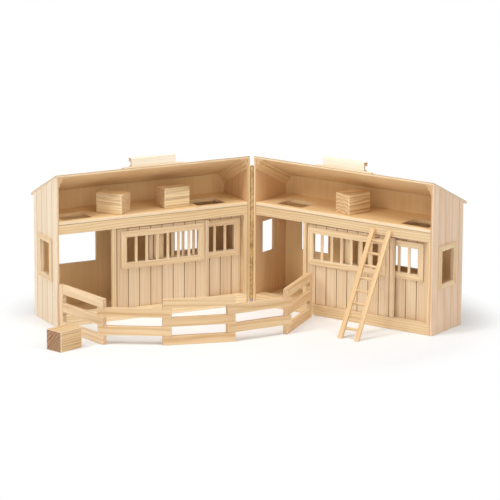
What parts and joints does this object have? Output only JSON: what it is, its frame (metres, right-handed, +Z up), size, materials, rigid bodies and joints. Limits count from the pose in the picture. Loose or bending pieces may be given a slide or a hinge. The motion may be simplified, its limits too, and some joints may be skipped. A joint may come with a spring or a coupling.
{
  "type": "folding toy stable",
  "caption": "Wooden toy barn in two halves on a piano hinge, with sliding barred doors, lofts, handles, ladder, bales and a fenced yard.",
  "frame": {"origin": "middle of the ground that the whole set covers, level with the undersides of the walls", "axes": "+Z up; +Y from the yard towards the hinge, halfway between the two halves; +X towards the right half's outer end"},
  "size_m": [0.8014, 0.4716, 0.3015],
  "materials": {
    "pine": "bare sanded pine",
    "birch": "bare sanded birch",
    "hay_block": "bare wood block, brushed along the grain",
    "brass": "plated, satin"
  },
  "bodies": {
    "left_half": {"left_floor_board": "pine", "left_sill": "pine", "left_loft_beam": "pine", "left_loft_floor": "pine", "left_back_wall": "pine", "left_outer_wall": "pine", "left_inner_wall": "pine", "left_window_frame": "pine", "left_opening_post": "pine", "left_closing_post": "pine", "left_roof": "pine", "left_left_cleat": "pine", "left_right_cleat": "pine", "left_handle_base": "pine", "left_handle_grip": "pine", "left_hinge_leaf": "brass"},
    "hinge_pin": {"hinge_pin": "brass"},
    "right_half": {"right_floor_board": "pine", "right_sill": "pine", "right_loft_beam": "pine", "right_loft_floor": "pine", "right_back_wall": "pine", "right_outer_wall": "pine", "right_inner_wall": "pine", "right_window_frame": "pine", "right_opening_post": "pine", "right_closing_post": "pine", "right_roof": "pine", "right_left_cleat": "pine", "right_right_cleat": "pine", "right_handle_base": "pine", "right_handle_grip": "pine", "right_hinge_leaf": "brass"},
    "left_front_door": {"left_front_door": "pine", "left_front_door_grille": "pine"},
    "left_rear_door": {"left_rear_door": "pine", "left_rear_door_grille": "pine"},
    "right_front_door": {"right_front_door": "pine", "right_front_door_grille": "pine"},
    "right_rear_door": {"right_rear_door": "pine", "right_rear_door_grille": "pine"},
    "loft_bale_outer": {"loft_bale_outer": "hay_block"},
    "loft_bale_middle": {"loft_bale_middle": "hay_block"},
    "loft_bale_right": {"loft_bale_right": "hay_block"},
    "ladder": {"ladder_left_stile_and_rungs": "birch", "ladder_right_stile": "birch"},
    "fence_c": {"fence_c_bottom_rail": "birch", "fence_c_middle_rail": "birch", "fence_c_top_rail": "birch", "fence_pin_bc": "birch", "fence_pin_cd": "birch"},
    "fence_b": {"fence_b_lower_rail": "birch", "fence_b_upper_rail": "birch"},
    "fence_a": {"fence_a_end_panel": "birch", "fence_pin_ab": "birch"},
    "fence_d": {"fence_d_lower_rail": "birch", "fence_d_upper_rail": "birch"},
    "fence_e": {"fence_e_end_panel": "birch", "fence_pin_de": "birch"},
    "yard_bale": {"yard_bale": "hay_block"}
  },
  "joints": [
    {"name": "fold_shut", "type": "hinge", "parent": "left_half", "child": "hinge_pin", "pos_m": [0, 0.13854, 0], "axis": [0, 0, 1], "range_deg": [-118, 0]},
    {"name": "fold_flat", "type": "hinge", "parent": "hinge_pin", "child": "right_half", "pos_m": [0, 0.13854, 0], "axis": [0, 0, 1], "range_deg": [0, 62]},
    {"name": "yard_away", "type": "slide", "parent": "left_half", "child": "fence_c", "axis": [-0.8572, -0.515, 0], "range_m": [0, 0.557]},
    {"name": "yard_bale_away", "type": "slide", "parent": "left_half", "child": "yard_bale", "axis": [-0.8572, -0.515, 0], "range_m": [0, 0.557]},
    {"name": "ladder_lift", "type": "slide", "parent": "right_half", "child": "ladder", "axis": [0, 0, 1], "range_m": [0, 0.351]},
    {"name": "left_front_door_slide", "type": "slide", "parent": "left_half", "child": "left_front_door", "axis": [0.8572, 0.515, 0], "range_m": [0, 0.073]},
    {"name": "left_rear_door_slide", "type": "slide", "parent": "left_half", "child": "left_rear_door", "axis": [0.8572, 0.515, 0], "range_m": [-0.072, 0]},
    {"name": "right_front_door_slide", "type": "slide", "parent": "right_half", "child": "right_front_door", "axis": [0.8572, -0.515, 0], "range_m": [0, 0.073]},
    {"name": "right_rear_door_slide", "type": "slide", "parent": "right_half", "child": "right_rear_door", "axis": [0.8572, -0.515, 0], "range_m": [-0.069, 0.003]},
    {"name": "loft_bale_outer_out", "type": "slide", "parent": "left_half", "child": "loft_bale_outer", "axis": [0.515, -0.8572, 0], "range_m": [0, 0.09]},
    {"name": "loft_bale_middle_out", "type": "slide", "parent": "left_half", "child": "loft_bale_middle", "axis": [0.515, -0.8572, 0], "range_m": [0, 0.09]},
    {"name": "loft_bale_right_out", "type": "slide", "parent": "right_half", "child": "loft_bale_right", "axis": [-0.515, -0.8572, 0], "range_m": [0, 0.09]},
    {"name": "fence_a_swing", "type": "hinge", "parent": "fence_b", "child": "fence_a", "pos_m": [-0.24726, -0.16826, 0], "axis": [0, 0, 1], "range_deg": [0, 20]},
    {"name": "fence_b_swing", "type": "hinge", "parent": "fence_c", "child": "fence_b", "pos_m": [-0.13027, -0.16622, 0], "axis": [0, 0, 1], "range_deg": [0, 10]},
    {"name": "fence_d_swing", "type": "hinge", "parent": "fence_c", "child": "fence_d", "pos_m": [-0.01839, -0.13201, 0], "axis": [0, 0, 1], "range_deg": [-20, 0]},
    {"name": "fence_e_swing", "type": "hinge", "parent": "fence_d", "child": "fence_e", "pos_m": [0.07861, -0.06659, 0], "axis": [0, 0, 1], "range_deg": [0, 120]}
  ],
  "couplings": [
    {"joint": "yard_away", "follows": "fold_shut", "m_per_rad": -0.27},
    {"joint": "yard_bale_away", "follows": "fold_shut", "m_per_rad": -0.27},
    {"joint": "ladder_lift", "follows": "fold_shut", "m_per_rad": -0.17}
  ]
}
